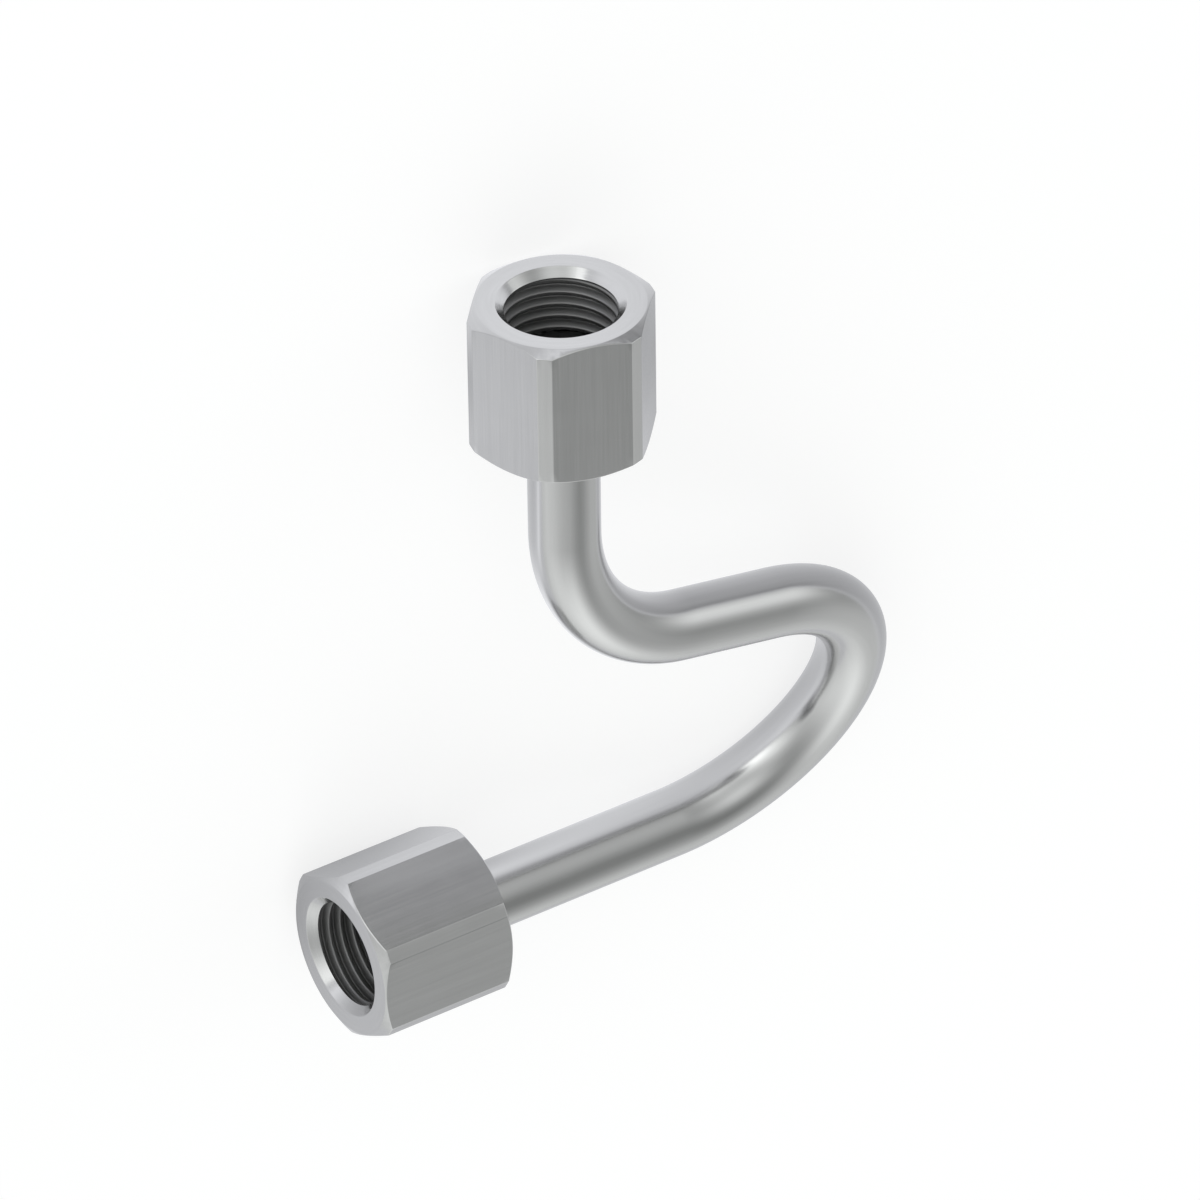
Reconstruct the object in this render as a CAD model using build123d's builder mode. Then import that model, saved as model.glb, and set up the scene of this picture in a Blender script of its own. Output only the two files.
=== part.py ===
from build123d import *
import os
from math import cos, radians, sin, tan

# A short steel pipe bent twice, with a union nut held loose on each end. It lies on its side on three feet:
# both nuts and the outside of the second bend. Millimetres and degrees.

# Tube, and the centre line that it is bent to, from the mouth of the short leg's nut to that of the long leg
tube_diameter = 8.0
tube_wall = 1.5
bend_radius = 20.0
short_leg = 29.7
first_bend_angle = 77.5
middle_run = 13.6
bend_twist_angle = 21.5  # the second bend's plane, turned by this much about the middle run
second_bend_angle = 166.25
long_leg = 44.5

# Sealing head, upset on each end of the tube
nose_depth = 8.4  # from the nut's mouth in to the tip
nose_half_angle = 30.0
nose_tip_diameter = 6.8
head_diameter = 10.6
head_land = 0.5
head_back_angle = 45.0
bore_bevel = 0.4

# Thrust ring behind each head
ring_diameter = 12.0
ring_web = 0.8
ring_bevel = 0.3
ring_fit = 0.1  # radial, to the tube inside it
seat_play = 0.1  # along the axis, from head to ring and from ring to nut

# Union nut for an M14 x 1.5 thread, its six corners cut flat
across_flats = 19.0
across_corners = 21.0  # over the flats that cut the corners
corners_on_nut = 6
nut_length = 17.1
end_circle_diameter = 18.6
end_chamfer_angle = 30.0
thread_minor_diameter = 12.376
thread_length = 7.2
relief_diameter = 14.4  # behind the thread, back to the shoulder that bears on the ring
countersink_diameter = 14.3
countersink_half_angle = 45.0
tube_hole_clearance = 0.2
tube_hole_bevel = 0.5
short_nut_angle = 41.6  # from the first bend's side to a corner, about the axis out of the mouth
long_nut_angle = 20.3  # the same at the long leg, from the second bend's side

chamfer_margin = 1.0  # the cone that cuts a nut's ends runs this far past its corners
settling_rounds = 8  # for the way that is down, found again from each round's lowest points

# Sizes that follow
tube_radius = tube_diameter / 2
tube_bore_radius = tube_radius - tube_wall
head_radius = head_diameter / 2
ring_radius = ring_diameter / 2
ring_bore_radius = tube_radius + ring_fit
relief_radius = relief_diameter / 2
tube_hole_radius = tube_radius + tube_hole_clearance
end_radius = end_circle_diameter / 2
chamfer_slope = tan(radians(end_chamfer_angle))
flat_radius = across_flats / 2
corner_flat_radius = across_corners / 2
corner_step = 360 / corners_on_nut
half_step = radians(corner_step / 2)
corner_flat_half_width = (flat_radius - corner_flat_radius * cos(half_step)) / sin(half_step)
corner_radius = Vector(corner_flat_radius, corner_flat_half_width).length
chamfer_drop = (corner_radius - end_radius) * chamfer_slope
cone_radius = corner_radius + chamfer_margin
cone_drop = (cone_radius - end_radius) * chamfer_slope

# Depths along a leg, from the nut's mouth inwards
land_start = nose_depth + (head_radius - nose_tip_diameter / 2) / tan(radians(nose_half_angle))
land_end = land_start + head_land
tube_start = land_end + (head_radius - tube_radius) / tan(radians(head_back_angle))
ring_front = land_end + seat_play
ring_seat_end = ring_front + (head_radius - ring_bore_radius) / tan(radians(head_back_angle))
ring_back = ring_seat_end + ring_web
nut_shoulder = ring_back + seat_play
thread_start = (countersink_diameter - thread_minor_diameter) / 2 / tan(radians(countersink_half_angle))
thread_end = thread_start + thread_length


def arc_end(start, along, towards, angle):
    """Where an arc of the bend radius ends, which way it then runs, and on which side its centre then is."""
    turn = radians(angle)
    end = start + along * (bend_radius * sin(turn)) + towards * (bend_radius * (1 - cos(turn)))
    return end, along * cos(turn) + towards * sin(turn), towards * cos(turn) - along * sin(turn)


def centre_line(start, along, towards):
    """Stations of the centre line, each a point, a direction and the side that it curves or curved to."""
    mouth = (start, along, towards)
    bend_1 = (start + along * short_leg, along, towards)
    run = arc_end(*bend_1, first_bend_angle)
    across = run[1].cross(run[2])
    twist = radians(bend_twist_angle)
    bend_2 = (run[0] + run[1] * middle_run, run[1], -(run[2] * cos(twist) + across * sin(twist)))
    leg = arc_end(*bend_2, second_bend_angle)
    far_mouth = (leg[0] + leg[1] * long_leg, leg[1], leg[2])
    return mouth, bend_1, run, bend_2, leg, far_mouth


def nut_plane(centre, outward, side, turn):
    """A plane on a nut's mouth, its z out of the mouth and its x through a corner."""
    return Plane(origin=centre, x_dir=side.rotate(Axis((0, 0, 0), outward), turn), z_dir=outward)


def nut_planes(stations):
    """The planes on the mouths of the short leg's nut and of the long leg's."""
    near, *_, far = stations
    return nut_plane(near[0], -near[1], near[2], short_nut_angle), nut_plane(*far, long_nut_angle)


def nut_corners(plane):
    """The corners of a nut's body, where its flats meet the chamfers."""
    corners = []
    for corner in range(corners_on_nut):
        out = plane.x_dir.rotate(Axis((0, 0, 0), plane.z_dir), corner * corner_step)
        sideways = plane.z_dir.cross(out) * corner_flat_half_width
        for depth in (chamfer_drop, nut_length - chamfer_drop):
            middle = plane.origin + out * corner_flat_radius - plane.z_dir * depth
            corners += [middle + sideways, middle - sideways]
    return corners


def bend_skin(bend_start, angle, way):
    """Points on the side of a bend that faces this way, one for each degree."""
    points = []
    for degree in range(int(angle)):
        point, along, _ = arc_end(*bend_start, degree)
        points.append(point + (way - along * way.dot(along)).normalized() * tube_radius)
    return points


def furthest(points, way):
    return max(points, key=lambda point: point.dot(way))


def lie_down(stations):
    """The way that is down once the assembly rests on both nuts and the second bend."""
    bend_2 = stations[3]
    down = bend_2[2].cross(bend_2[1])
    for _ in range(settling_rounds):
        near, far = [furthest(nut_corners(plane), down) for plane in nut_planes(stations)]
        outside = furthest(bend_skin(bend_2, second_bend_angle, down), down)
        down = (outside - near).cross(far - near).normalized()
    return down


def reach(stations, way):
    """How far the assembly reaches this way from the origin."""
    points = bend_skin(stations[1], first_bend_angle, way) + bend_skin(stations[3], second_bend_angle, way)
    for plane in nut_planes(stations):
        points += nut_corners(plane)
    return furthest(points, way).dot(way)


# The centre line is laid out standing on end, then turned to lie: z up, x the way that the long leg's mouth faces
drawn = centre_line(Vector(0, 0, 0), Vector(0, 0, -1), Vector(1, 0, 0))
z_lying = -lie_down(drawn)
long_leg_faces = drawn[-1][1]
x_lying = (long_leg_faces - z_lying * long_leg_faces.dot(z_lying)).normalized()
y_lying = z_lying.cross(x_lying)
start_ways = [Vector(way.dot(x_lying), way.dot(y_lying), way.dot(z_lying)) for way in drawn[0][1:]]

# Its origin goes to the surface that it lies on, under the middle of its box
turned = centre_line(Vector(0, 0, 0), *start_ways)
x_way, y_way, z_way = Vector(1, 0, 0), Vector(0, 1, 0), Vector(0, 0, 1)
x_middle, y_middle = [(reach(turned, way) - reach(turned, -way)) / 2 for way in (x_way, y_way)]
lying = centre_line(Vector(-x_middle, -y_middle, reach(turned, -z_way)), *start_ways)
mouth, bend_1, run, bend_2, leg, far_mouth = lying
mouths = dict(zip(("short_leg", "long_leg"), nut_planes(lying)))


def section(plane):
    """The half plane through a nut's axis: x is the radius, y the height out of the mouth."""
    return Plane(origin=plane.origin, x_dir=plane.x_dir, z_dir=-plane.y_dir)


def axis_of(plane):
    return Axis(plane.origin, plane.z_dir)


# Bent tube with a sealing head on each end
with BuildPart() as bent_tube:
    with BuildLine() as centre:
        Line(mouth[0] + mouth[1] * tube_start, bend_1[0])
        TangentArc(bend_1[0], run[0], tangent=bend_1[1])
        Line(run[0], bend_2[0])
        TangentArc(bend_2[0], leg[0], tangent=bend_2[1])
        Line(leg[0], far_mouth[0] - far_mouth[1] * tube_start)
    with BuildSketch(Plane(origin=mouth[0] + mouth[1] * tube_start, x_dir=mouth[2], z_dir=mouth[1])):
        Circle(tube_radius)
        Circle(tube_bore_radius, mode=Mode.SUBTRACT)
    sweep(path=centre.wires()[0])
    for plane in mouths.values():
        with BuildSketch(section(plane)):
            with BuildLine():
                Polyline(
                    (tube_bore_radius + bore_bevel, -nose_depth),
                    (nose_tip_diameter / 2, -nose_depth),
                    (head_radius, -land_start),
                    (head_radius, -land_end),
                    (tube_radius, -tube_start),
                    (tube_bore_radius, -tube_start),
                    (tube_bore_radius, -nose_depth - bore_bevel),
                    close=True,
                )
            make_face()
        revolve(axis=axis_of(plane))
bent_tube.part.label = "bent_tube"

# Thrust rings and union nuts, alike on both legs
rings = {}
nuts = {}
for leg_name, plane in mouths.items():
    with BuildPart() as thrust_ring:
        with BuildSketch(section(plane)):
            with BuildLine():
                Polyline(
                    (head_radius, -ring_front),
                    (ring_radius - ring_bevel, -ring_front),
                    (ring_radius, -ring_front - ring_bevel),
                    (ring_radius, -ring_back + ring_bevel),
                    (ring_radius - ring_bevel, -ring_back),
                    (ring_bore_radius, -ring_back),
                    (ring_bore_radius, -ring_seat_end),
                    close=True,
                )
            make_face()
        revolve(axis=axis_of(plane))
    thrust_ring.part.label = leg_name + "_ring"
    rings[leg_name] = thrust_ring.part

    with BuildPart() as union_nut:
        with BuildSketch(plane):
            RegularPolygon(flat_radius, corners_on_nut, major_radius=False)
            RegularPolygon(
                corner_flat_radius,
                corners_on_nut,
                major_radius=False,
                rotation=corner_step / 2,
                mode=Mode.INTERSECT,
            )
        extrude(amount=-nut_length)
        with BuildSketch(section(plane)):
            with BuildLine():
                Polyline(
                    (0, 0),
                    (end_radius, 0),
                    (cone_radius, -cone_drop),
                    (cone_radius, -nut_length + cone_drop),
                    (end_radius, -nut_length),
                    (0, -nut_length),
                    close=True,
                )
            make_face()
        revolve(axis=axis_of(plane), mode=Mode.INTERSECT)
        with BuildSketch(section(plane)):
            with BuildLine():
                Polyline(
                    (0, 0),
                    (countersink_diameter / 2, 0),
                    (thread_minor_diameter / 2, -thread_start),
                    (thread_minor_diameter / 2, -thread_end),
                    (relief_radius, -thread_end),
                    (relief_radius, -nut_shoulder),
                    (tube_hole_radius, -nut_shoulder),
                    (tube_hole_radius, -nut_length + tube_hole_bevel),
                    (tube_hole_radius + tube_hole_bevel, -nut_length),
                    (0, -nut_length),
                    close=True,
                )
            make_face()
        revolve(axis=axis_of(plane), mode=Mode.SUBTRACT)
    union_nut.part.label = leg_name + "_nut"
    nuts[leg_name] = union_nut.part

os.makedirs("parts", exist_ok=True)
export_step(bent_tube.part, "parts/bent_tube.step")
for leg_name in mouths:
    export_step(rings[leg_name], f"parts/{leg_name}_ring.step")
    export_step(nuts[leg_name], f"parts/{leg_name}_nut.step")
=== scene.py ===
# %% [markdown]
# # Bent tube assembly
# A short steel pipe for a compression fitting: an 8 mm tube bent twice, a conical sealing head pressed on
# each end, and a union nut held loose behind each head. It was modelled in CAD, which settles every size
# and place. This notebook dresses that model: it gives the pieces rounded edges, a real thread and steel
# that looks like steel, and photographs the whole on a pale table. The imported model is loaded first, and
# its box is kept and printed.

from math import cos, pi, radians, sin, tan

import bmesh
import bpy
from mathutils import Matrix, Vector


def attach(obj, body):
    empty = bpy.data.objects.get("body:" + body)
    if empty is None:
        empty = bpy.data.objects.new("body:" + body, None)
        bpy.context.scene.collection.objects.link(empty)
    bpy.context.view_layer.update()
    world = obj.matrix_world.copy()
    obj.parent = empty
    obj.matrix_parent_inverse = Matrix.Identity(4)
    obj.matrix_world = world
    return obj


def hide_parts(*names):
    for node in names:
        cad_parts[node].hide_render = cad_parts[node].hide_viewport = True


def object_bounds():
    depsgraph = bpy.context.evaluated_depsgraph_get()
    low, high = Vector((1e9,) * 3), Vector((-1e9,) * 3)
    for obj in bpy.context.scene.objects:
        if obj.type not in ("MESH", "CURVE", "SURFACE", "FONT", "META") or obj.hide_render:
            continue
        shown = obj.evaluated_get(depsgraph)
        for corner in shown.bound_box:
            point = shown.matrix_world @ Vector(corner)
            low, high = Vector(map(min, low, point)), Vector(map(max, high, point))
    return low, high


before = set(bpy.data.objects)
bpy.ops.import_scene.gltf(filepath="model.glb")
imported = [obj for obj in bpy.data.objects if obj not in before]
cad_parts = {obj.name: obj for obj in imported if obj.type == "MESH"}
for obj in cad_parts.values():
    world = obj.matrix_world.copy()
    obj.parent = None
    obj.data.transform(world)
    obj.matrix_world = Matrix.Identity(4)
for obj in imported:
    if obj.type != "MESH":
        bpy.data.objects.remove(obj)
cad_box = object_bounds()
cad_sides = Vector(cad_box[1]) - Vector(cad_box[0])
print("box of the CAD model, mm:", [round(side * 1000, 2) for side in cad_sides])

# %% [markdown]
# ## The line that the tube is bent to
# Blender works in metres, and a pipe like this is drawn in millimetres, so every size is written as a
# number of millimetres times MM. The sizes are the values that the CAD model was made from. A tube bender
# works from a short list: feed, bend, turn the tube in its jaws, bend again. The centre line is built from
# the same list, starting at the mouth of the short leg's nut. An arc is described by the point where it
# starts, the way it runs there and the side on which its centre lies.

# %% Stations of the centre line
MM = 0.001

BEND_RADIUS = 20.0 * MM
SHORT_LEG = 29.7 * MM
FIRST_BEND = 77.5
MIDDLE_RUN = 13.6 * MM
BEND_TWIST = 21.5
SECOND_BEND = 166.25
LONG_LEG = 44.5 * MM
SHORT_MOUTH = Vector((13.155798, -50.010153, 9.487815)) * MM
INTO_SHORT_LEG = Vector((-0.024584, 0.98347, 0.179397))
FIRST_BEND_SIDE = Vector((-0.968128, 0.02132, -0.249545))


def along_arc(start, along, side, angle):
    """The point, direction and side after this many degrees of bend."""
    turn = radians(angle)
    point = start + BEND_RADIUS * (sin(turn) * along + (1 - cos(turn)) * side)
    return point, cos(turn) * along + sin(turn) * side, cos(turn) * side - sin(turn) * along


bend_1 = (SHORT_MOUTH + SHORT_LEG * INTO_SHORT_LEG, INTO_SHORT_LEG, FIRST_BEND_SIDE)
run_point, run_way, run_side = along_arc(*bend_1, FIRST_BEND)
twist = radians(BEND_TWIST)
second_bend_side = -(cos(twist) * run_side + sin(twist) * run_way.cross(run_side))
bend_2 = (run_point + MIDDLE_RUN * run_way, run_way, second_bend_side)
leg_point, leg_way, _ = along_arc(*bend_2, SECOND_BEND)
LONG_MOUTH = leg_point + LONG_LEG * leg_way
print("mouth of the long leg's nut, mm:", [round(value / MM, 2) for value in LONG_MOUTH])

# %% [markdown]
# ## Outlines with soft corners
# Nothing made on a lathe has a perfectly sharp edge: each one is broken by a tenth of a millimetre or so,
# and that narrow round is what catches the light. Every turned shape here starts as an outline of straight
# lines, and one helper rounds its corners and divides its lines. Plain numbers do this better than a Bevel
# modifier here, because each round keeps its own size and always has the same number of points.

# %% Rounding the corners of an outline
ARC_PARTS = 4


def soft_corner(before, corner, after, bevel):
    """The points that replace one corner of an outline by a round of this radius."""
    back, on = (before - corner).normalized(), (after - corner).normalized()
    half = back.angle(on) / 2
    centre = corner + (back + on).normalized() * (bevel / sin(half))
    start = corner + back * (bevel / tan(half)) - centre
    sweep = start.angle_signed(corner + on * (bevel / tan(half)) - centre)
    turns = [Matrix.Rotation(-sweep * step / ARC_PARTS, 2) for step in range(ARC_PARTS + 1)]
    return [centre + turn @ start for turn in turns]


def softened(corners, closed=True):
    """Points along an outline. A corner is (x, y, radius of its round, parts of the line after it)."""
    places = [Vector(corner[:2]) for corner in corners]
    groups = []
    for index, (_, _, bevel, _) in enumerate(corners):
        at_end = not closed and index in (0, len(corners) - 1)
        if bevel and not at_end:
            after = places[(index + 1) % len(places)]
            groups.append(soft_corner(places[index - 1], places[index], after, bevel))
        else:
            groups.append([places[index]])
    outline = []
    for index, group in enumerate(groups):
        outline += group
        if closed or index < len(groups) - 1:
            start, end, parts = group[-1], groups[(index + 1) % len(groups)][0], corners[index][3]
            outline += [start.lerp(end, step / parts) for step in range(1, parts)]
    return outline


square = [(0, 0, 1, 2), (10, 0, 1, 2), (10, 10, 1, 2), (0, 10, 1, 2)]
print("a square with soft corners has", len(softened(square)), "points")

# %% [markdown]
# ## Node trees, written as sums
# Both geometry and materials are built from nodes. A small class wraps a socket, so that a sum of two
# sockets adds the Math node itself, and one method makes every other node. The trees below then read like
# formulas. A tree for geometry is run on an object by a modifier, and its result is kept as a plain mesh,
# because that is what can be exported and measured.


# %% Sockets and trees
class Socket:
    """One output of a node, which plain Python can add, subtract, multiply and divide."""

    def __init__(self, tree, socket):
        self.tree, self.socket = tree, socket

    def math(self, operation, *others):
        return self.tree.node("ShaderNodeMath", {"operation": operation}, self, *others)

    def __add__(self, other):
        return self.math("ADD", other)

    def __radd__(self, other):
        return self.math("ADD", other)

    def __sub__(self, other):
        return self.math("SUBTRACT", other)

    def __rsub__(self, other):
        return self.tree.node("ShaderNodeMath", {"operation": "SUBTRACT"}, other, self)

    def __mul__(self, other):
        return self.math("MULTIPLY", other)

    def __rmul__(self, other):
        return self.math("MULTIPLY", other)

    def __truediv__(self, other):
        return self.math("DIVIDE", other)

    def __rtruediv__(self, other):
        return self.tree.node("ShaderNodeMath", {"operation": "DIVIDE"}, other, self)


class Tree:
    """A node tree that adds its nodes one by one."""

    def __init__(self, tree):
        self.tree = tree

    def node(self, kind, settings=None, *values, output=0, **named):
        """Adds a node: its settings first, then what goes into its sockets, by order or by name."""
        node = self.tree.nodes.new(kind)
        for name, value in (settings or {}).items():
            setattr(node, name, value)
        free = [socket for socket in node.inputs if socket.enabled]
        for socket, value in zip(free, values):
            self.feed(socket, value)
        for name, value in named.items():
            matching = [socket for socket in free if socket.name.replace(" ", "_") == name]
            self.feed(matching[0], value)
        live = [socket for socket in node.outputs if socket.enabled]
        if not live:
            return node
        names = [socket.name for socket in live]
        index = output if isinstance(output, int) else names.index(output)
        return Socket(self, live[index])

    def axes(self, vector):
        """The x, y and z of a vector."""
        parts = self.node("ShaderNodeSeparateXYZ", {}, vector).socket.node
        return [Socket(self, socket) for socket in parts.outputs]

    def feed(self, socket, value):
        if isinstance(value, Socket):
            self.tree.links.new(value.socket, socket)
        elif value is not None:
            socket.default_value = value


# %% Running a geometry tree
def geometry_tree(name, inputs):
    """A Geometry Nodes tree with named inputs. Returns the tree and its inputs as sockets."""
    group = bpy.data.node_groups.new(name, "GeometryNodeTree")
    group.interface.new_socket("Geometry", in_out="INPUT", socket_type="NodeSocketGeometry")
    for label, kind in inputs.items():
        group.interface.new_socket(label, in_out="INPUT", socket_type=kind)
    group.interface.new_socket("Geometry", in_out="OUTPUT", socket_type="NodeSocketGeometry")
    tree = Tree(group)
    entry = group.nodes.new("NodeGroupInput")
    given = {socket.name: Socket(tree, socket) for socket in entry.outputs if socket.name}
    return tree, given


def grow(obj, tree, values):
    """Runs a Geometry Nodes tree on an object and keeps the result as its plain mesh."""
    modifier = obj.modifiers.new(tree.tree.name, "NODES")
    modifier.node_group = tree.tree
    for item in tree.tree.interface.items_tree:
        if item.in_out == "INPUT" and item.name in values:
            modifier[item.identifier] = values[item.name]
    return baked(obj)


def baked(obj):
    """Turns what the modifiers make of an object into its plain mesh, and takes the modifiers off."""
    evaluated = obj.evaluated_get(bpy.context.evaluated_depsgraph_get())
    mesh = bpy.data.meshes.new_from_object(evaluated)
    mesh.name = obj.name
    obj.modifiers.clear()
    obj.data = mesh
    return obj


def new_object(name, points, faces=(), edges=()):
    """A mesh object from plain points, faces and edges."""
    mesh = bpy.data.meshes.new(name)
    mesh.from_pydata([tuple(point) for point in points], list(edges), list(faces))
    obj = bpy.data.objects.new(name, mesh)
    bpy.context.scene.collection.objects.link(obj)
    return obj


def keep_flats_flat(piece):
    """Lets the large faces set the shading at the small rounds."""
    for polygon in piece.data.polygons:
        polygon.use_smooth = True
    weighted = piece.modifiers.new("keep flats flat", "WEIGHTED_NORMAL")
    weighted.weight = 100  # the most there is: the largest faces decide alone
    return baked(piece)


# %% [markdown]
# ## Steel
# All the pieces are the same bright carbon steel, but each was finished by another tool. The tube was drawn
# through a die, which leaves fine scratches along it. The nut's flats are the skin of drawn hexagon bar, and
# its ends and chamfers were turned on a lathe, which leaves rings. The thread and the relief behind it are
# given a dark steel colour: painted shade, for the light that does not reach into the bore. Every finish is
# one steel shader with its own scratches. The scratches are noise that is stretched along the tool's way, and
# they drive the roughness and a bump of about a thousandth of a millimetre.


# %% A base for every steel finish
SCRATCH_SHARE, CLOUD_SHARE = 0.7, 0.3
CLOUDS_PER_METRE = 220.0
BUMP_HEIGHT = 0.002 * MM


def steel(name, colour, roughness, scratches, tone=0.05, spread=0.08):
    """A steel whose scratches, a function of the tree that returns a value from 0 to 1, vary its look."""
    material = bpy.data.materials.new(name)
    material.use_nodes = True
    material.node_tree.nodes.clear()
    tree = Tree(material.node_tree)
    grain = scratches(tree)
    place = tree.node("ShaderNodeTexCoord", output="Object")
    cloud = tree.node("ShaderNodeTexNoise", {}, place, Scale=CLOUDS_PER_METRE, Detail=3.0)
    darker = tuple(channel * (1 - tone) for channel in colour)
    lighter = tuple(min(1.0, channel * (1 + tone)) for channel in colour)
    look = tree.node(
        "ShaderNodeMix",
        {"data_type": "RGBA"},
        SCRATCH_SHARE * grain + CLOUD_SHARE * cloud,
        (*darker, 1.0),
        (*lighter, 1.0),
    )
    normal = tree.node("ShaderNodeBump", {}, Strength=0.5, Distance=BUMP_HEIGHT, Height=grain)
    shader = tree.node(
        "ShaderNodeBsdfPrincipled",
        {},
        Base_Color=look,
        Metallic=1.0,
        Roughness=roughness + spread * (grain - 0.5) + spread * (cloud - 0.5),
        Normal=normal,
    )
    tree.node("ShaderNodeOutputMaterial", {}, shader)
    return material


def piece_place(tree):
    """The place on a piece as its tool saw it, kept on its mesh: x and y across its axis, z along it."""
    return tree.node("ShaderNodeAttribute", {"attribute_name": "place"}, output="Vector")


# %% Scratches along a piece, and rings round it
FINE_LINES = (9000.0, 9000.0, 110.0)  # scratches in a metre, across and along
BROAD_LINES = (1500.0, 1500.0, 40.0)
FINE_RINGS = 9000.0  # rings in a metre
BROKEN_RINGS = 2500.0
BREAKS = 2.0  # about how often a broken ring changes on its way round
GRAIN_CONTRAST = 1.8


def contrasted(grain):
    """Noise keeps near its middle value of a half. This spreads it, so that the tool marks can be seen."""
    return GRAIN_CONTRAST * (grain - 0.5) + 0.5


def drawn_scratches(tree):
    """Fine lines along the axis, and broader ones under them."""
    place = piece_place(tree)
    fine_place = tree.node("ShaderNodeVectorMath", {"operation": "MULTIPLY"}, place, FINE_LINES)
    broad_place = tree.node("ShaderNodeVectorMath", {"operation": "MULTIPLY"}, place, BROAD_LINES)
    fine = tree.node("ShaderNodeTexNoise", {}, fine_place, Scale=1.0, Detail=2.0)
    broad = tree.node("ShaderNodeTexNoise", {}, broad_place, Scale=1.0, Detail=1.0)
    return contrasted(0.5 * fine + 0.5 * broad)


def turned_rings(tree):
    """Fine rings round the axis, a little broken, as a lathe tool leaves them."""
    x, y, z = tree.axes(piece_place(tree))
    radius = (x * x + y * y).math("SQRT")
    turn = y.math("ARCTAN2", x)
    across, up = BREAKS * turn.math("COSINE"), BREAKS * turn.math("SINE")
    fine_place = tree.node("ShaderNodeCombineXYZ", {}, FINE_RINGS * radius, FINE_RINGS * z, 0.0)
    broken_place = tree.node("ShaderNodeCombineXYZ", {}, BROKEN_RINGS * radius, across, up)
    fine = tree.node("ShaderNodeTexNoise", {}, fine_place, Scale=1.0, Detail=1.0)
    broken = tree.node("ShaderNodeTexNoise", {}, broken_place, Scale=1.0, Detail=2.0)
    return contrasted(0.45 * fine + 0.55 * broken)


# %% The four finishes
STEEL = (0.53, 0.53, 0.53)
# painted shade: the thread's steel is darker than the rest, for the shade inside the nut's bore
SHADE_DARK_STEEL = (0.27, 0.27, 0.27)
tube_steel = steel("drawn tube steel", STEEL, 0.19, drawn_scratches, spread=0.06)
flat_steel = steel("drawn hexagon bar steel", STEEL, 0.2, drawn_scratches, tone=0.08, spread=0.08)
turned_steel = steel("turned steel", STEEL, 0.19, turned_rings, tone=0.08, spread=0.08)
shade_dark_thread_steel = steel("shade-dark thread steel", SHADE_DARK_STEEL, 0.55, turned_rings, spread=0.08)
finishes = (tube_steel, flat_steel, turned_steel, shade_dark_thread_steel)
print("finishes:", ", ".join(finish.name for finish in finishes))

# %% [markdown]
# ## The bent tube
# The real one is a drawn tube, cut, headed at both ends and bent. Its whole skin, the two conical heads
# too, is a circle carried along the centre line while its radius changes: so it is grown by Geometry Nodes
# from a line of points, each of which knows its radius and how far along the tube it lies. The bore is a
# second line of the same kind, turned inside out, and the two are joined at the tips. Depths are measured
# from a nut's mouth inwards, and each follows from the one before it: tip, cone, land and back of the head.

# %% Sizes of the tube and its heads
TUBE_RADIUS = 4.0 * MM
TUBE_BORE_RADIUS = 2.5 * MM
NOSE_DEPTH = 8.4 * MM
NOSE_TIP_RADIUS = 3.4 * MM
NOSE_HALF_ANGLE = radians(30)
HEAD_RADIUS = 5.3 * MM
LAND = 0.5 * MM
LAND_START = NOSE_DEPTH + (HEAD_RADIUS - NOSE_TIP_RADIUS) / tan(NOSE_HALF_ANGLE)
LAND_END = LAND_START + LAND
HEAD_BACK_END = LAND_END + HEAD_RADIUS - TUBE_RADIUS  # a cone of 45 degrees
BORE_BEVEL = 0.4 * MM
NUT_LENGTH = 17.1 * MM
print("depth of the plain tube's start, mm:", round(HEAD_BACK_END / MM, 3))

# %% The skin's outline, one head, and the points along the bends
TIP_CROWN = 0.01 * MM
DEGREES_PER_POINT = 2.0


def head_outline():
    """(depth from the nut's mouth, radius) from the tip's inner edge back to the plain tube."""
    corners = [
        (NOSE_DEPTH - TIP_CROWN, TUBE_BORE_RADIUS + BORE_BEVEL, 0.0, 1),
        (NOSE_DEPTH, NOSE_TIP_RADIUS, 0.0, 1),
        (NOSE_DEPTH + TIP_CROWN, NOSE_TIP_RADIUS, 0.0, 1),
        (LAND_START, HEAD_RADIUS, 0.2 * MM, 1),
        (LAND_END, HEAD_RADIUS, 0.15 * MM, 1),
        (HEAD_BACK_END, TUBE_RADIUS, 0.3 * MM, 1),
        (NUT_LENGTH, TUBE_RADIUS, 0.0, 1),
    ]
    return softened(corners, closed=False)


def bore_outline():
    """The same for the bore, from the tip's inner edge back."""
    corners = [
        (NOSE_DEPTH - TIP_CROWN, TUBE_BORE_RADIUS + BORE_BEVEL, 0.0, 1),
        (NOSE_DEPTH + BORE_BEVEL, TUBE_BORE_RADIUS, 0.0, 1),
        (NUT_LENGTH, TUBE_BORE_RADIUS, 0.0, 1),
    ]
    return softened(corners, closed=False)


def path_points(outline):
    """(point, radius, distance along) from tip to tip, for a skin with this outline at both ends."""
    points = [(SHORT_MOUTH + depth * INTO_SHORT_LEG, radius) for depth, radius in outline]
    plain_radius = outline[-1][1]
    for start, angle in ((bend_1, FIRST_BEND), (bend_2, SECOND_BEND)):
        steps = round(angle / DEGREES_PER_POINT)
        points += [(along_arc(*start, angle * step / steps)[0], plain_radius) for step in range(steps + 1)]
    points += [(LONG_MOUTH - depth * leg_way, radius) for depth, radius in reversed(outline)]
    placed, along = [], 0.0
    for index, (point, radius) in enumerate(points):
        if index:
            along += (point - points[index - 1][0]).length
        placed.append((point, radius, along))
    return placed


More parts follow.
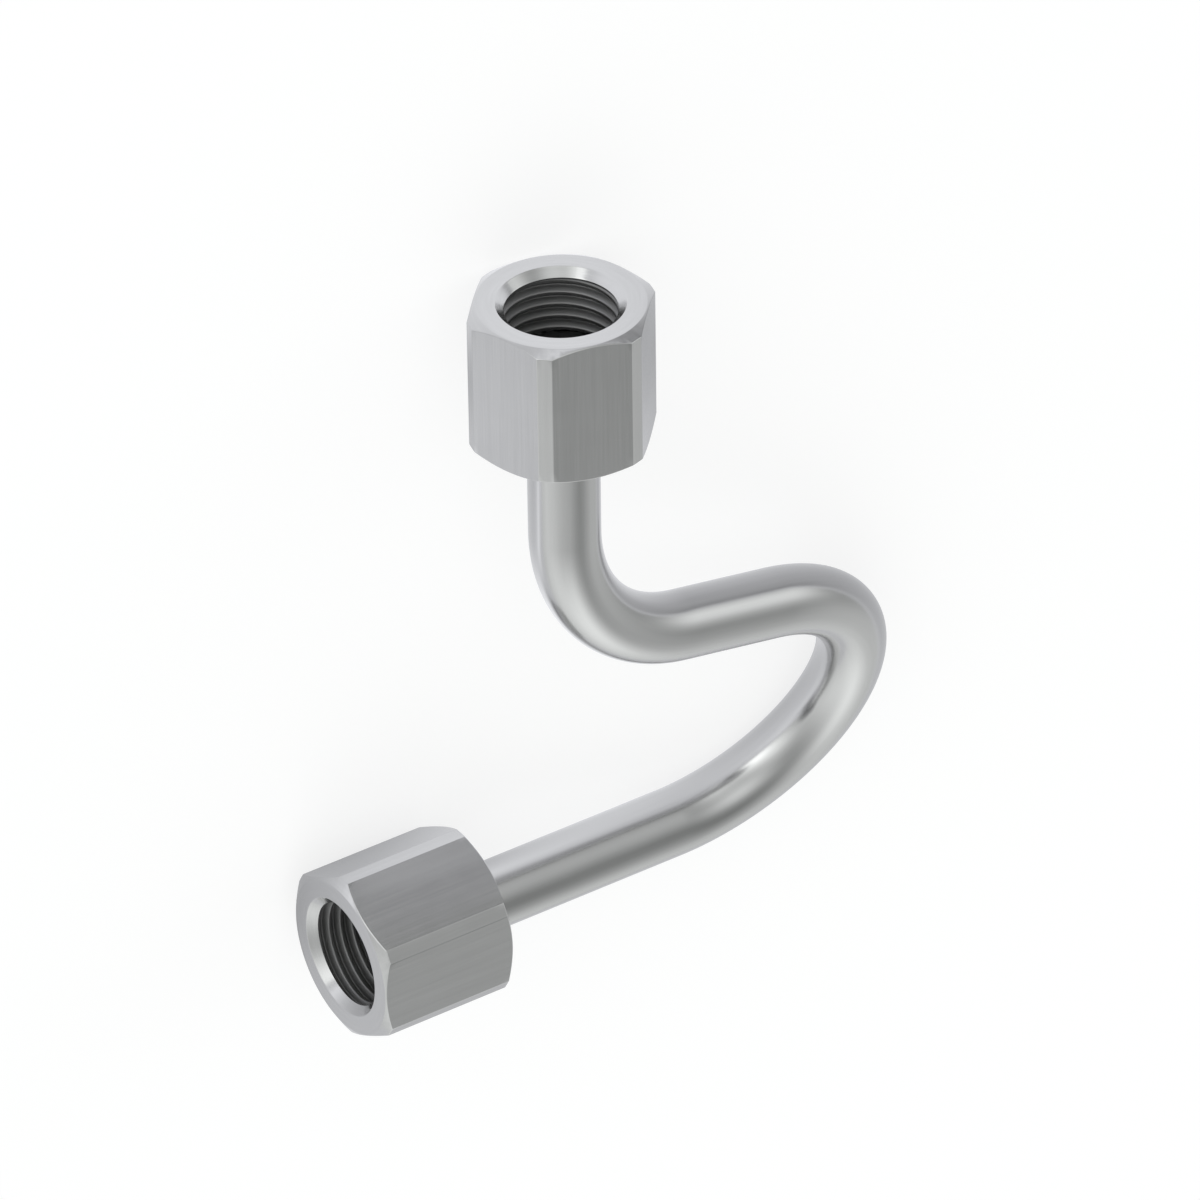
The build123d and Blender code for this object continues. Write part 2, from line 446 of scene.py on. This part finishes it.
def path_object(name, outline):
    """A line along the tube, whose points know their radius and how far along they lie."""
    placed = path_points(outline)
    edges = [(index, index + 1) for index in range(len(placed) - 1)]
    line = new_object(name, [point for point, _, _ in placed], edges=edges)
    for label, part in (("radius_here", 1), ("along", 2)):
        attribute = line.data.attributes.new(label, "FLOAT", "POINT")
        attribute.data.foreach_set("value", [entry[part] for entry in placed])
    print(name, "has", len(placed), "points over", round(placed[-1][2] / MM, 1), "mm")
    return line


# %% The tree that carries a circle along a line
def skin_tree():
    """Carries a circle along a line. Each point of the line gives the circle's radius there."""
    tree, given = geometry_tree(
        "skin along a line",
        {"Around": "NodeSocketInt", "Inside out": "NodeSocketBool", "Finish": "NodeSocketMaterial"},
    )
    number, vector = {"data_type": "FLOAT"}, {"data_type": "FLOAT_VECTOR"}
    radius = tree.node("GeometryNodeInputNamedAttribute", number, "radius_here")
    along = tree.node("GeometryNodeInputNamedAttribute", number, "along")
    curve = tree.node("GeometryNodeMeshToCurve", {}, given["Geometry"])
    circle = tree.node("GeometryNodeCurvePrimitiveCircle", {"mode": "RADIUS"}, given["Around"], Radius=1.0)
    position = tree.node("GeometryNodeInputPosition")
    marked = tree.node("GeometryNodeStoreNamedAttribute", vector, circle, None, "rim", position)
    mesh = tree.node("GeometryNodeCurveToMesh", {}, curve, marked, Scale=radius)
    rim = tree.node("GeometryNodeInputNamedAttribute", vector, "rim")
    rim_x, rim_y, _ = tree.axes(rim)
    place = tree.node("ShaderNodeCombineXYZ", {}, rim_x * radius, rim_y * radius, along)
    placed = tree.node("GeometryNodeStoreNamedAttribute", vector, mesh, None, "place", place)
    turned = tree.node("GeometryNodeFlipFaces", {}, placed, given["Inside out"])
    smooth = tree.node("GeometryNodeSetShadeSmooth", {}, turned, None, True)
    whole = tree.node("GeometryNodeRealizeInstances", {}, smooth)
    tree.node("NodeGroupOutput", {}, tree.node("GeometryNodeSetMaterial", {}, whole, None, given["Finish"]))
    return tree


AROUND_TUBE = 128
skin = skin_tree()
tube_skin = grow(
    path_object("bent_tube_skin", head_outline()),
    skin,
    {"Around": AROUND_TUBE, "Inside out": False, "Finish": tube_steel},
)
tube_bore = grow(
    path_object("bent_tube_bore", bore_outline()),
    skin,
    {"Around": AROUND_TUBE, "Inside out": True, "Finish": tube_steel},
)
print("skin:", len(tube_skin.data.polygons), "faces, bore:", len(tube_bore.data.polygons), "faces")


# %% Joining skin and bore
MERGE_DISTANCE = 0.0005 * MM


def join(name, *objects):
    """One object from several, their shared edges merged, with its axis marks kept."""
    points, faces, places, materials = [], [], [], []
    for obj in objects:
        mesh, first = obj.data, len(points)
        points += [vertex.co.copy() for vertex in mesh.vertices]
        faces += [[first + index for index in polygon.vertices] for polygon in mesh.polygons]
        places += [item.vector.copy() for item in mesh.attributes["place"].data]
        materials += [mesh.materials[polygon.material_index] for polygon in mesh.polygons]
    whole = new_object(name, points, faces)
    finishes = list(dict.fromkeys(materials))
    for finish in finishes:
        whole.data.materials.append(finish)
    whole.data.polygons.foreach_set("material_index", [finishes.index(material) for material in materials])
    mark_places(whole, places)
    merge_doubles(whole)
    for obj in objects:
        bpy.data.objects.remove(obj)
    return whole


def mark_places(obj, places):
    """Keeps with each point its place as the tool saw it."""
    attribute = obj.data.attributes.new("place", "FLOAT_VECTOR", "POINT")
    attribute.data.foreach_set("vector", [value for place in places for value in place])


def merge_doubles(obj):
    """Merges points that lie on each other, and prints how the mesh came out."""
    mesh = bmesh.new()
    mesh.from_mesh(obj.data)
    bmesh.ops.remove_doubles(mesh, verts=mesh.verts, dist=MERGE_DISTANCE)
    for face in mesh.faces:
        face.smooth = True
    mesh.to_mesh(obj.data)
    open_edges = sum(edge.is_boundary for edge in mesh.edges)
    volume = mesh.calc_volume(signed=True) / MM**3
    mesh.free()
    print(f"{obj.name}: {len(obj.data.polygons)} faces, {open_edges} open edges, {volume:.0f} mm3")


tube = join("bent_tube_piece", tube_skin, tube_bore)
keep_flats_flat(tube)
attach(tube, "tube")
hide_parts("bent_tube")

# %% [markdown]
# ## The union nut
# The real nut is turned from hexagon bar with its six corners cut back to narrow flats. Seen from its mouth
# it is a rounded twelve-sided outline, and cut along its axis it is one closed outline: thread,
# countersink, face, chamfer, flat, and the same chamfer at the back. So its skin is a grid. Every column is
# the lengthwise outline at one angle, with that angle's radius for the flats, which bends the chamfers'
# edges into the arcs that are seen on every hexagon nut. Behind its thread the nut opens into a relief,
# back to the shoulder that bears on the thrust ring, so the ring's sizes are given first, and the
# shoulder's depth follows from them.

# %% Sizes of the ring and the nut
SEAT_PLAY = 0.1 * MM
RING_RADIUS = 6.0 * MM
RING_BORE_RADIUS = 4.1 * MM
RING_WEB = 0.8 * MM
RING_FRONT = LAND_END + SEAT_PLAY
RING_SEAT_END = RING_FRONT + HEAD_RADIUS - RING_BORE_RADIUS  # the same cone
RING_BACK = RING_SEAT_END + RING_WEB
RING_BEVEL = 0.3 * MM

FLAT_RADIUS = 9.5 * MM
CORNER_FLAT_RADIUS = 10.5 * MM
END_RADIUS = 9.3 * MM
END_CHAMFER = radians(30)
COUNTERSINK_RADIUS = 7.15 * MM
THREAD_MINOR_RADIUS = 6.188 * MM
THREAD_START = COUNTERSINK_RADIUS - THREAD_MINOR_RADIUS  # the countersink's sides slope by 45 degrees
THREAD_END = THREAD_START + 7.2 * MM
THREAD_PITCH = 1.5 * MM
THREAD_DEPTH = 0.812 * MM
RELIEF_RADIUS = 7.2 * MM
NUT_SHOULDER = RING_BACK + SEAT_PLAY
TUBE_HOLE_RADIUS = 4.2 * MM
TUBE_HOLE_BEVEL = 0.5 * MM
print("depth of the nut's shoulder, mm:", round(NUT_SHOULDER / MM, 3))


# %% The twelve-sided outline of the bar
SIDES = 6
CORNER_ROUND = 0.25 * MM
CORNER_FLAT_PARTS, FLAT_PARTS = 3, 14


def bar_outline():
    """Points round the bar: each corner is cut back to a narrow flat, whose two ends are rounded."""
    half_step = pi / SIDES
    half_width = (FLAT_RADIUS - CORNER_FLAT_RADIUS * cos(half_step)) / sin(half_step)
    corners = []
    for index in range(SIDES):
        turn = Matrix.Rotation(index * 2 * pi / SIDES, 2)
        for side, parts in ((-1, CORNER_FLAT_PARTS), (1, FLAT_PARTS)):
            place = turn @ Vector((CORNER_FLAT_RADIUS, side * half_width))
            corners.append((*place, CORNER_ROUND, parts))
    return softened(corners)


columns = bar_outline()
print("columns round a nut:", len(columns))

# %% The lengthwise outline, and the grid
WALL_ROWS = 96
EDGE = 0.15 * MM


def nut_outline(side_radius):
    """The nut cut along its axis: (radius, height, round, parts of the line after it, that line's finish)."""
    drop = (side_radius - END_RADIUS) * tan(END_CHAMFER)
    return [
        (THREAD_MINOR_RADIUS, -THREAD_START, 0.05 * MM, 8, "countersink"),
        (COUNTERSINK_RADIUS, 0.0, 0.1 * MM, 6, "turned"),
        (END_RADIUS, 0.0, EDGE, 1, "turned"),
        (side_radius, -drop, EDGE, 12, "flat"),
        (side_radius, -NUT_LENGTH + drop, EDGE, 1, "turned"),
        (END_RADIUS, -NUT_LENGTH, EDGE, 6, "turned"),
        (TUBE_HOLE_RADIUS + TUBE_HOLE_BEVEL, -NUT_LENGTH, 0.08 * MM, 1, "turned"),
        (TUBE_HOLE_RADIUS, -NUT_LENGTH + TUBE_HOLE_BEVEL, 0.08 * MM, 3, "turned"),
        (TUBE_HOLE_RADIUS, -NUT_SHOULDER, 0.08 * MM, 4, "turned"),
        (RELIEF_RADIUS, -NUT_SHOULDER, 0.1 * MM, 8, "thread"),
        (RELIEF_RADIUS, -THREAD_END, 0.1 * MM, 2, "thread"),
        (THREAD_MINOR_RADIUS, -THREAD_END, 0.0, WALL_ROWS, "thread"),
    ]


def grid_piece(name, ring, outline_at, finishes):
    """A closed grid: a lengthwise outline at each point of a ring of (x, y) directions."""
    points, labels = [], []
    for place in ring:
        corners = outline_at(place.length)
        outline = softened([corner[:4] for corner in corners])
        way = place.normalized()
        points += [(way.x * radius, way.y * radius, height) for radius, height in outline]
    for corner in corners:
        labels += [corner[4]] * ((ARC_PARTS if corner[2] else 0) + corner[3])
    rows, count = len(outline), len(ring)
    faces, kinds = [], []
    for column in range(count):
        here, there = column * rows, (column + 1) % count * rows
        for row in range(rows):
            below = (row + 1) % rows
            faces.append((here + row, here + below, there + below, there + row))
            kinds.append(labels[row])
    piece = new_object(name, points, faces)
    used = list(dict.fromkeys(finishes.values()))
    for finish in used:
        piece.data.materials.append(finish)
    piece.data.polygons.foreach_set("material_index", [used.index(finishes[kind]) for kind in kinds])
    mark_places(piece, points)
    return piece


print("points along a nut's outline:", len(softened([corner[:4] for corner in nut_outline(FLAT_RADIUS)])))

# %% [markdown]
# The thread is the part of the nut that takes the most skill. It is an M14 x 1.5 thread, cut as a 60 degree
# groove that climbs one pitch a turn. A Geometry Nodes tree presses that groove into the grid's inner wall:
# the depth at a point depends only on its turn and its height, so one formula makes the whole helix. The
# groove grows out of the countersink over its first half turn and runs out into the relief behind the
# thread.


# %% The tree that cuts the thread
ROOT_SHARE = 1 / 16  # half the width of the groove's flat root, as a share of the pitch
FLANK_ANGLE = radians(30)
WALL_TOLERANCE = 0.02 * MM


def thread_tree():
    """Presses the thread's groove into the points that lie on the wall, and paints it."""
    tree, given = geometry_tree(
        "internal thread",
        {
            "Pitch": "NodeSocketFloat",
            "Depth": "NodeSocketFloat",
            "Wall radius": "NodeSocketFloat",
            "Start": "NodeSocketFloat",
            "Lead in": "NodeSocketFloat",
            "Finish": "NodeSocketMaterial",
        },
    )
    pitch, depth = given["Pitch"], given["Depth"]
    x, y, z = tree.axes(tree.node("GeometryNodeInputPosition"))
    radius = (x * x + y * y).math("SQRT")
    turn = y.math("ARCTAN2", x) / (2 * pi)
    from_root = ((turn - z / pitch).math("FRACT") - 0.5).math("ABSOLUTE") * pitch
    root_half = pitch * ROOT_SHARE
    flank = depth * tan(FLANK_ANGLE)
    profile = ((root_half + flank - from_root) / flank).math("MINIMUM", 1.0).math("MAXIMUM", 0.0)
    wall_depth = 0.0 - z
    faded = ((wall_depth - given["Start"]) / given["Lead in"]).math("MINIMUM", 1.0).math("MAXIMUM", 0.0)
    grown = (radius + depth * profile * faded) / radius
    moved = tree.node("ShaderNodeCombineXYZ", {}, x * grown, y * grown, z)
    on_wall = (radius - given["Wall radius"]).math("ABSOLUTE").math("LESS_THAN", WALL_TOLERANCE)
    cut = tree.node("GeometryNodeSetPosition", {}, given["Geometry"], on_wall, moved)
    whole = tree.node("GeometryNodeRealizeInstances", {}, cut)
    # the thread gets the darker steel, which paints the shade in the bore
    in_thread = on_wall * wall_depth.math("GREATER_THAN", given["Start"])
    painted = tree.node("GeometryNodeSetMaterial", {}, whole, in_thread, given["Finish"])
    tree.node("NodeGroupOutput", {}, painted)
    return tree


thread = thread_tree()
print("turns of thread:", round((THREAD_END - THREAD_START) / THREAD_PITCH, 1))


# %% Cutting one nut, and setting it on both legs
def place_on_leg(piece, mouth, outward, towards_corner):
    """Turns and moves a piece's mesh from the lathe to its leg: z out of the mouth, x through a corner."""
    across = outward.cross(towards_corner)
    turn = Matrix((towards_corner, across, outward)).transposed().to_4x4()
    piece.data.transform(Matrix.Translation(mouth) @ turn)
    piece.data.update()


# the thread and the relief behind it get the darker steel, which paints the bore's shade
FINISH_OF = {"flat": flat_steel, "turned": turned_steel, "countersink": turned_steel, "thread": shade_dark_thread_steel}
LEGS = {  # the nut's mouth, the way out of it, and the way to one of its corners
    "short_leg": (SHORT_MOUTH, -INTO_SHORT_LEG, Vector((-0.558484, 0.135326, -0.818402))),
    "long_leg": (LONG_MOUTH, leg_way, Vector((0.028264, -0.985524, -0.167165))),
}
for leg, (mouth, outward, corner) in LEGS.items():
    nut = grid_piece(leg + "_nut_piece", columns, nut_outline, FINISH_OF)
    grow(
        nut,
        thread,
        {
            "Pitch": THREAD_PITCH,
            "Depth": THREAD_DEPTH,
            "Wall radius": THREAD_MINOR_RADIUS,
            "Start": THREAD_START,
            "Lead in": THREAD_PITCH / 2,
            "Finish": shade_dark_thread_steel,
        },
    )
    merge_doubles(nut)
    keep_flats_flat(nut)
    place_on_leg(nut, mouth, outward, corner)
    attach(nut, leg + "_nut")
    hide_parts(leg + "_nut")

# %% [markdown]
# ## The thrust rings
# Each nut pushes its head through a loose ring. It is hidden in the nut until the nut is drawn back, but it
# is a real piece, so it gets the same soft edges and turned steel.


# %% Rings
def ring_outline(_):
    """The ring cut along its axis, written as the nut's outline is. It is the same all the way round."""
    return [
        (RING_BORE_RADIUS, -RING_BACK, 0.05 * MM, 2, "turned"),
        (RING_BORE_RADIUS, -RING_SEAT_END, 0.05 * MM, 4, "turned"),
        (HEAD_RADIUS, -RING_FRONT, 0.05 * MM, 2, "turned"),
        (RING_RADIUS - RING_BEVEL, -RING_FRONT, 0.05 * MM, 1, "turned"),
        (RING_RADIUS, -RING_FRONT - RING_BEVEL, 0.05 * MM, 3, "turned"),
        (RING_RADIUS, -RING_BACK + RING_BEVEL, 0.05 * MM, 1, "turned"),
        (RING_RADIUS - RING_BEVEL, -RING_BACK, 0.05 * MM, 4, "turned"),
    ]


AROUND_RING = 128
TURNS = [Matrix.Rotation(2 * pi * step / AROUND_RING, 2) for step in range(AROUND_RING)]
ROUND = [turn @ Vector((1.0, 0.0)) for turn in TURNS]
for leg, (mouth, outward, corner) in LEGS.items():
    ring = grid_piece(leg + "_ring_piece", ROUND, ring_outline, {"turned": turned_steel})
    merge_doubles(ring)
    keep_flats_flat(ring)
    place_on_leg(ring, mouth, outward, corner)
    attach(ring, leg + "_ring")
    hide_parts(leg + "_ring")

# %% [markdown]
# ## The table
# A photograph for a catalogue is taken on white paper. The floor is matt, and it also glows for the camera,
# so that it reads as white without any more light on the part, whose shadow stays on it. The steel mirrors
# the paper as well, and in the reflections alone the paper carries painted light and painted shade: glowing
# pools before both mouths and inside the second bend, and dark pools under the long leg's nut and far out on
# the side of the bends. They stand in for paper that lamps light unevenly. A pool's strength falls off like a
# bell: the exponential of minus half the squared distance, counted in the pool's own radii.

# %% The paper
FLOOR_HALF = 3.0
SEEN_SHARE, SEEN_GLOW = 0.55, 1.31  # how much of what the camera sees is glow, and how strong it is
MIRRORED_SHARE, MIRRORED_GLOW = 0.9, 0.9  # the same in the steel
PAPER_WHITE = (0.975, 0.985, 1.02, 1.0)
PAPER_GREY = (0.82, 0.82, 0.82, 1.0)
WHITE = (1.0, 1.0, 1.0, 1.0)
# painted light and painted shade, seen only in the steel: a positive strength paints a glowing pool, a
# negative one a dark pool
PAINTED_POOLS = [  # x, y and radius in millimetres, strength
    (10, -57, 20, 0.60),
    (22, -190, 45, 0.75),
    (2, 20, 18, 0.36),
    (72, 22, 18, 0.60),
    (26, 44, 12, -0.50),
    (-14, -30, 10, -0.22),
    (-125, -60, 100, -0.40),
    (-80, -160, 60, -0.45),
    (22, 20, 12, 0.33),
    (26, -33, 5, -0.25),
    (-54, 220, 60, -0.30),
    (-20, 1, 9, 0.11),
    (-7, 39, 10, 0.17),
]


def painted_pools(tree, place):
    """How brightly the paper glows in the steel at a place on the table: even glow plus painted pools of
    light and shade.
    """
    glow = MIRRORED_GLOW
    for x, y, radius, strength in PAINTED_POOLS:
        middle = (x * MM, y * MM, 0.0)
        away = tree.node("ShaderNodeVectorMath", {"operation": "DISTANCE"}, place, middle, output="Value")
        spread = away / (radius * MM)
        glow = glow + strength * (spread * spread * -0.5).math("EXPONENT")
    return glow


def paper():
    """White paper that glows for the camera and in the steel, and is matt for everything else. In the steel
    its glow carries painted pools of light and shade.
    """
    material = bpy.data.materials.new("white paper")
    material.use_nodes = True
    material.node_tree.nodes.clear()
    tree = Tree(material.node_tree)
    by_camera = tree.node("ShaderNodeLightPath", output="Is Camera Ray")
    by_mirror = Socket(tree, by_camera.socket.node.outputs["Is Glossy Ray"])
    place = tree.node("ShaderNodeTexCoord", output="Object")
    matt = tree.node("ShaderNodeBsdfDiffuse", {}, PAPER_GREY)
    white = tree.node("ShaderNodeMix", {"data_type": "RGBA"}, by_camera, PAPER_WHITE, WHITE)
    # the camera sees an even glow; the steel sees the glow with its painted pools of light and shade
    strength = SEEN_GLOW * by_camera + by_mirror * painted_pools(tree, place)
    glowing_white = tree.node("ShaderNodeVectorMath", {"operation": "SCALE"}, white, Scale=strength)
    glow = tree.node("ShaderNodeEmission", {}, glowing_white)
    share = SEEN_SHARE * by_camera + MIRRORED_SHARE * by_mirror
    tree.node("ShaderNodeOutputMaterial", {}, tree.node("ShaderNodeMixShader", {}, share, matt, glow))
    return material


table_corners = [(x * FLOOR_HALF, y * FLOOR_HALF, 0.0) for x, y in ((-1, -1), (1, -1), (1, 1), (-1, 1))]
floor = new_object("table", table_corners, [(0, 1, 2, 3)])
floor.data.materials.append(paper())
print("table:", 2 * FLOOR_HALF, "m wide, with", len(PAINTED_POOLS), "painted_pools")

# %% [markdown]
# ## Light
# Bare steel has hardly a colour of its own: it shows what stands round it. A catalogue photographer
# therefore builds a tent of large soft panels, some bright and some dim, and moves them until every face of
# the part reads. Area lamps could stand for the panels, but they have hard edges, which a drawn tube
# stretches into stripes. Here the panels are painted on the world instead. Each is brightest in its middle
# and fades evenly to all sides, and the camera itself sees plain white where it looks past the table.


# %% A world of soft panels
def way_to(azimuth, elevation):
    """The way to this azimuth (0 is -Y, 90 is +X) and this height above the table, both in degrees."""
    turn, lift = radians(azimuth), radians(elevation)
    return Vector((sin(turn) * cos(lift), -cos(turn) * cos(lift), sin(lift)))


TENT_GREY = (0.173, 0.178, 0.175)
PANEL_WHITE = (0.985, 1.0, 0.993)
PANELS = [  # azimuth and elevation of the middle, sharpness, strength
    (187, 26, 32, 0.50),
    (43, 4, 53, 1.20),
    (143, 23, 7.6, 0.87),
    (302, 15, 22, 1.09),
    (209, -10, 6.1, 0.57),
    (59, 14, 13, 1.18),
    (2, 16, 29, 0.81),
    (244, 26, 17, 0.31),
    (179, 49, 42, 0.40),
    (4, 63, 19, 0.87),
    (110, 5, 60, 0.40),
]


def tent():
    """Soft panels all round, which the camera itself sees as plain white."""
    world = bpy.data.worlds.new("tent")
    world.use_nodes = True
    world.node_tree.nodes.clear()
    tree = Tree(world.node_tree)
    looking = tree.node("ShaderNodeTexCoord", output="Generated")
    light = TENT_GREY
    dot = {"operation": "DOT_PRODUCT"}
    for azimuth, elevation, sharpness, strength in PANELS:
        middle = tuple(way_to(azimuth, elevation))
        cosine = tree.node("ShaderNodeVectorMath", dot, looking, middle, output="Value")
        glow = strength * (0.5 * cosine + 0.5).math("POWER", sharpness)
        panel = tree.node("ShaderNodeVectorMath", {"operation": "SCALE"}, PANEL_WHITE, Scale=glow)
        light = tree.node("ShaderNodeVectorMath", {"operation": "ADD"}, light, panel)
    by_camera = tree.node("ShaderNodeLightPath", output="Is Camera Ray")
    seen = tree.node("ShaderNodeMix", {"data_type": "RGBA"}, by_camera, light, WHITE)
    tree.node("ShaderNodeOutputWorld", {}, tree.node("ShaderNodeBackground", {}, seen, 1.0))
    return world


bpy.context.scene.world = tent()
print("panels:", len(PANELS))

# %% [markdown]
# ## Camera
# The photograph was taken with a long lens from above, with the camera rolled over so that the short leg's
# nut stands at the top. The camera's own three directions say all of that at once.

# %% Camera
EYE = Vector((395.9385, -779.2144, 731.5892)) * MM
TO_THE_RIGHT = Vector((-0.911137, -0.084639, 0.403317))
TO_THE_TOP = Vector((-0.222938, -0.721875, -0.655131))
TO_THE_EYE = Vector((0.346594, -0.686828, 0.638858))
FOCAL_PIXELS = 10210.0
PHOTO_PIXELS = 1200
SENSOR = 36.0  # the lens and its sensor are given in millimetres as they are

lens = bpy.data.cameras.new("long lens")
lens.sensor_width = SENSOR
lens.lens = FOCAL_PIXELS / PHOTO_PIXELS * SENSOR
lens.clip_start, lens.clip_end = 0.05, 20.0
camera = bpy.data.objects.new("camera", lens)
turn_of_camera = Matrix((TO_THE_RIGHT, TO_THE_TOP, TO_THE_EYE)).transposed().to_4x4()
camera.matrix_world = Matrix.Translation(EYE) @ turn_of_camera
bpy.context.scene.collection.objects.link(camera)
bpy.context.scene.camera = camera
bpy.context.scene.view_settings.view_transform = "Standard"
print("lens:", round(lens.lens, 1), "mm")
